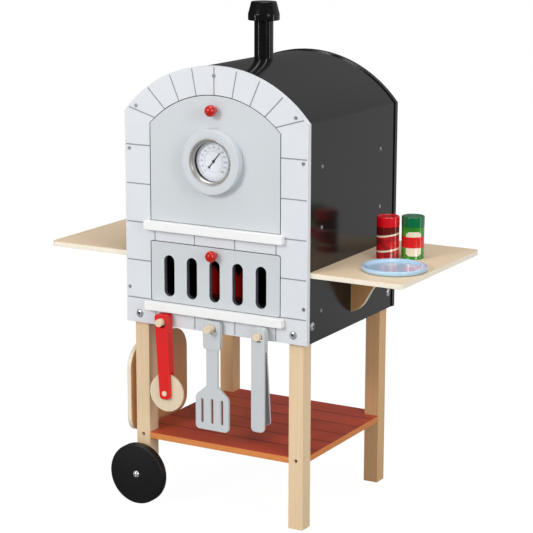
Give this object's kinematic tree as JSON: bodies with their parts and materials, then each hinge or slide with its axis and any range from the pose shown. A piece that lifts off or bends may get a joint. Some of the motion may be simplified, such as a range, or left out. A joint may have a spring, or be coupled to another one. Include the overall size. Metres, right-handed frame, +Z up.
{
  "type": "toy pizza oven",
  "caption": "Arched toy pizza oven on legs and wheels, with drop-down doors, side shelves, a lower shelf, a chimney and hanging play tools.",
  "frame": {"origin": "on the floor under the middle of the oven body, below the chimney; the pegs make the box reach a few millimetres further to the front than to the back", "axes": "+X to the right seen from the front, towards the shelf with the tins; +Y to the back; +Z up"},
  "size_m": [0.736, 0.4071, 0.937],
  "materials": {
    "brick_paint": "light cool grey satin paint with grey brick joints",
    "black_gloss": "glossy black paint",
    "plain_board": "bare board",
    "flame_paint": "matt dark red paint",
    "door_paint": "satin grey paint",
    "plated_steel": "bright zinc plate",
    "chrome_bolt": "polished chrome",
    "bright_bezel": "polished steel",
    "dial_white": "white printed dial",
    "pointer_black": "satin black",
    "red_gloss": "glossy red paint",
    "magnet": "plain",
    "ledge_paint": "off-white satin paint",
    "leg_wood": "pale lacquered wood",
    "shelf_wood": "pale lacquered board",
    "peg_wood": "pale wood",
    "red_board": "red-brown stain with orange edges",
    "wheel_black": "glossy black",
    "tool_grey": "satin grey paint",
    "red_tin": "glossy red paint with cream bands",
    "green_tin": "glossy green paint with cream bands",
    "blue_plate": "glossy light blue"
  },
  "bodies": {
    "frame": {"front_panel": "brick_paint", "back_panel": "black_gloss", "left_side_panel": "black_gloss", "right_side_panel": "black_gloss", "roof_sheet": "black_gloss", "crown_rail": "plain_board", "haunch_rails": "plain_board", "oven_shelf": "plain_board", "oven_floor": "plain_board", "firebox_floor": "black_gloss", "flame_board": "flame_paint", "upper_door_pins": "plated_steel", "upper_door_stop": "plain_board", "lower_door_pins": "plated_steel", "lower_door_stop": "plain_board", "catch_magnets": "magnet", "upper_ledge": "ledge_paint", "lower_ledge": "ledge_paint", "front_left_leg": "leg_wood", "front_right_leg": "leg_wood", "rear_left_leg": "leg_wood", "rear_right_leg": "leg_wood", "lower_shelf": "red_board", "left_side_shelf": "shelf_wood", "right_side_shelf": "shelf_wood", "left_bracket": "shelf_wood", "right_bracket": "shelf_wood", "axle_bolts": "chrome_bolt", "wheel_spacers": "leg_wood", "hanging_pegs": "peg_wood", "chimney_pipe": "black_gloss", "chimney_cap": "black_gloss", "chimney_dowel": "peg_wood", "panel_screws": "plated_steel", "side_screws": "plated_steel", "leg_bolts": "chrome_bolt", "shelf_screws": "plated_steel"},
    "upper_door": {"upper_door": "door_paint", "upper_knob": "red_gloss", "upper_knob_screw": "plated_steel", "thermometer_ring": "door_paint", "thermometer_bezel": "bright_bezel", "thermometer_dial": "dial_white"},
    "pointer": {"thermometer_pointer": "pointer_black"},
    "lower_door": {"lower_door": "door_paint", "lower_knob": "red_gloss", "lower_knob_screw": "plated_steel"},
    "front_wheel": {"front_wheel": "wheel_black"},
    "rear_wheel": {"rear_wheel": "wheel_black"},
    "cutter": {"cutter_handle": "red_gloss", "cutter_pin": "peg_wood"},
    "cutter_wheel": {"cutter_wheel": "peg_wood"},
    "spatula": {"spatula": "tool_grey"},
    "tongs": {"tongs_front_arm": "tool_grey", "tongs_block": "tool_grey"},
    "tongs_rear_arm": {"tongs_rear_arm": "tool_grey"},
    "peel": {"pizza_peel": "shelf_wood"},
    "red_tin": {"red_tin": "red_tin"},
    "green_tin": {"green_tin": "green_tin"},
    "plate": {"plate": "blue_plate"}
  },
  "joints": [
    {"name": "upper_door_hinge", "type": "hinge", "parent": "frame", "child": "upper_door", "pos_m": [0, -0.173, 0.565], "axis": [1, 0, 0], "range_deg": [0, 118]},
    {"name": "pointer_turn", "type": "hinge", "parent": "upper_door", "child": "pointer", "pos_m": [0, -0.1807, 0.6655], "axis": [0, -1, 0], "range_deg": [-120, 120]},
    {"name": "lower_door_hinge", "type": "hinge", "parent": "frame", "child": "lower_door", "pos_m": [0, -0.173, 0.4118], "axis": [1, 0, 0], "range_deg": [0, 114]},
    {"name": "front_wheel_spin", "type": "hinge", "parent": "frame", "child": "front_wheel", "pos_m": [-0.1635, -0.1865, 0.058], "axis": [0, -1, 0], "continuous": true},
    {"name": "rear_wheel_spin", "type": "hinge", "parent": "frame", "child": "rear_wheel", "pos_m": [-0.1635, 0.1865, 0.058], "axis": [0, -1, 0], "continuous": true},
    {"name": "cutter_swing", "type": "hinge", "parent": "frame", "child": "cutter", "pos_m": [-0.103, -0.189, 0.3615], "axis": [0, -1, 0], "range_deg": [-8, 8]},
    {"name": "cutter_wheel_spin", "type": "hinge", "parent": "cutter", "child": "cutter_wheel", "pos_m": [-0.09663, -0.189, 0.22635], "axis": [0, -1, 0], "continuous": true},
    {"name": "spatula_swing", "type": "hinge", "parent": "frame", "child": "spatula", "pos_m": [0, -0.186, 0.3615], "axis": [0, -1, 0], "range_deg": [-8, 8]},
    {"name": "tongs_swing", "type": "hinge", "parent": "frame", "child": "tongs", "pos_m": [0.103, -0.195, 0.3615], "axis": [0, -1, 0], "range_deg": [-8, 8]},
    {"name": "tongs_squeeze", "type": "hinge", "parent": "tongs", "child": "tongs_rear_arm", "pos_m": [0.103, -0.1903, 0.333], "axis": [-1, 0, 0], "range_deg": [0, 5.5], "stiffness_Nm_per_rad": 0.35},
    {"name": "peel_swing", "type": "hinge", "parent": "frame", "child": "peel", "pos_m": [-0.1935, -0.07, 0.444], "axis": [1, 0, 0], "range_deg": [-5, 5]},
    {"name": "red_tin_lift", "type": "slide", "parent": "frame", "child": "red_tin", "axis": [0, 0, 1], "range_m": [0, 0.1]},
    {"name": "green_tin_lift", "type": "slide", "parent": "frame", "child": "green_tin", "axis": [0, 0, 1], "range_m": [0, 0.1]},
    {"name": "plate_lift", "type": "slide", "parent": "frame", "child": "plate", "axis": [0, 0, 1], "range_m": [0, 0.06]}
  ]
}
